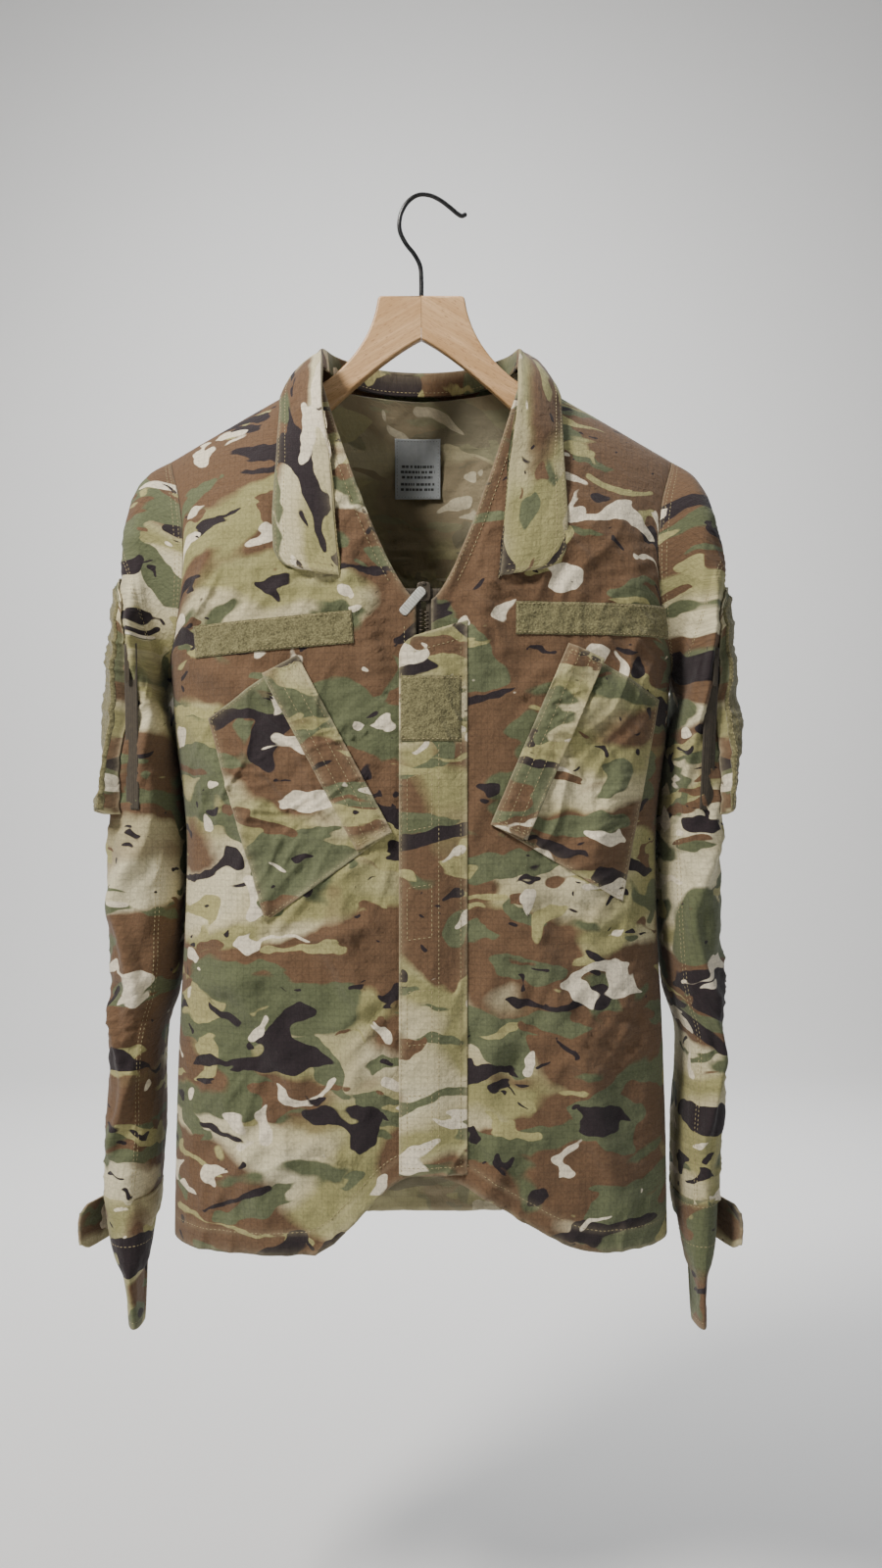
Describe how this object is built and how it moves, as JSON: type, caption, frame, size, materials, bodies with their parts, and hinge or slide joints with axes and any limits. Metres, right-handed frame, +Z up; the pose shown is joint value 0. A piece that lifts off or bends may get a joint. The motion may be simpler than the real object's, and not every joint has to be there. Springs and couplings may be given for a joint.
{
  "type": "field coat on a hanger",
  "caption": "Camouflage field coat with a folded collar, covered zip front, slanted chest pockets and sleeve pockets, hanging open at the neck on a wooden coat hanger.",
  "frame": {"origin": "the underside of the wire hook's crown, where the hook rests on whatever carries it", "axes": "+X towards the wearer's left, +Y from the front to the back, +Z up"},
  "size_m": [0.5359, 0.1776, 0.9328],
  "materials": {
    "cloth": null,
    "wood": "satin lacquered beech",
    "hook_wire": "black coated wire",
    "loop_pile": "woven loop pile",
    "zip_tape": "woven zip tape with moulded teeth",
    "zip_metal": "matt coated zip slider",
    "pull_tab": "pale webbing pull",
    "label": "printed satin label with unreadable lines"
  },
  "bodies": {
    "hook": {"hanger_hook": "hook_wire"},
    "coat": {"hanger_half_right": "wood", "hanger_half_left": "wood", "front_panel_right": "cloth", "front_panel_left": "cloth", "back_panel": "cloth", "name_tape_loop_right": "loop_pile", "name_tape_loop_left": "loop_pile", "chest_pocket_right": "cloth", "chest_pocket_left": "cloth", "zip_tape_right": "zip_tape", "zip_tape_left": "zip_tape", "inner_placket": "cloth", "neck_label": "label", "collar": "cloth", "sleeve_right": "cloth", "cuff_right": "cloth", "elbow_patch_right": "cloth", "sleeve_pocket_right": "cloth", "sleeve_loop_field_right": "loop_pile", "sleeve_zip_right": "zip_tape", "sleeve_left": "cloth", "cuff_left": "cloth", "elbow_patch_left": "cloth", "sleeve_pocket_left": "cloth", "sleeve_loop_field_left": "loop_pile", "sleeve_zip_left": "zip_tape"},
    "fly": {"fly_flap": "cloth", "rank_loop": "loop_pile"},
    "slider": {"zip_slider": "zip_metal"},
    "pull": {"zip_pull": "pull_tab"},
    "flap_right": {"pocket_flap_right": "cloth"},
    "flap_left": {"pocket_flap_left": "cloth"},
    "sleeve_slider_right": {"sleeve_zip_slider_right": "zip_metal"},
    "sleeve_pull_right": {"sleeve_zip_pull_right": "zip_metal"},
    "cuff_tab_right": {"cuff_tab_right": "cloth"},
    "sleeve_slider_left": {"sleeve_zip_slider_left": "zip_metal"},
    "sleeve_pull_left": {"sleeve_zip_pull_left": "zip_metal"},
    "cuff_tab_left": {"cuff_tab_left": "cloth"}
  },
  "joints": [
    {"name": "hanger_swivel", "type": "hinge", "parent": "hook", "child": "coat", "pos_m": [0, 0, -0.1], "axis": [0, 0, 1], "continuous": true},
    {"name": "fly_opening", "type": "hinge", "parent": "coat", "child": "fly", "pos_m": [0.037, -0.0937, -0.59], "axis": [0, 0, 1], "range_deg": [0, 85]},
    {"name": "zip_travel", "type": "slide", "parent": "coat", "child": "slider", "axis": [0, 0, -1], "range_m": [0, 0.42]},
    {"name": "zip_pull_swing", "type": "hinge", "parent": "slider", "child": "pull", "pos_m": [0.003, -0.0936, -0.3407], "axis": [-1, 0, 0], "range_deg": [0, 110]},
    {"name": "flap_right_lift", "type": "hinge", "parent": "coat", "child": "flap_right", "pos_m": [-0.058, -0.09216, -0.46325], "axis": [-0.4738, 0.0191, 0.8804], "range_deg": [0, 95]},
    {"name": "flap_left_lift", "type": "hinge", "parent": "coat", "child": "flap_left", "pos_m": [0.085, -0.09052, -0.4555], "axis": [-0.3969, -0.0296, -0.9174], "range_deg": [0, 95]},
    {"name": "sleeve_zip_right_travel", "type": "slide", "parent": "coat", "child": "sleeve_slider_right", "axis": [0.0086, 0.0287, -0.9995], "range_m": [0, 0.105]},
    {"name": "sleeve_pull_right_swing", "type": "hinge", "parent": "sleeve_slider_right", "child": "sleeve_pull_right", "pos_m": [-0.23165, -0.06805, -0.39238], "axis": [-0.867, 0.4983, 0.0068], "range_deg": [0, 120]},
    {"name": "cuff_tab_right_turn", "type": "hinge", "parent": "coat", "child": "cuff_tab_right", "pos_m": [-0.2616, 0.014, -0.856], "axis": [0, 0, -1], "range_deg": [0, 110]},
    {"name": "sleeve_zip_left_travel", "type": "slide", "parent": "coat", "child": "sleeve_slider_left", "axis": [-0.0383, 0.0294, -0.9988], "range_m": [0, 0.105]},
    {"name": "sleeve_pull_left_swing", "type": "hinge", "parent": "sleeve_slider_left", "child": "sleeve_pull_left", "pos_m": [0.23388, -0.06804, -0.39547], "axis": [-0.8669, -0.4982, 0.0185], "range_deg": [0, 120]},
    {"name": "cuff_tab_left_turn", "type": "hinge", "parent": "coat", "child": "cuff_tab_left", "pos_m": [0.2451, 0.014, -0.856], "axis": [0, 0, 1], "range_deg": [0, 110]}
  ]
}
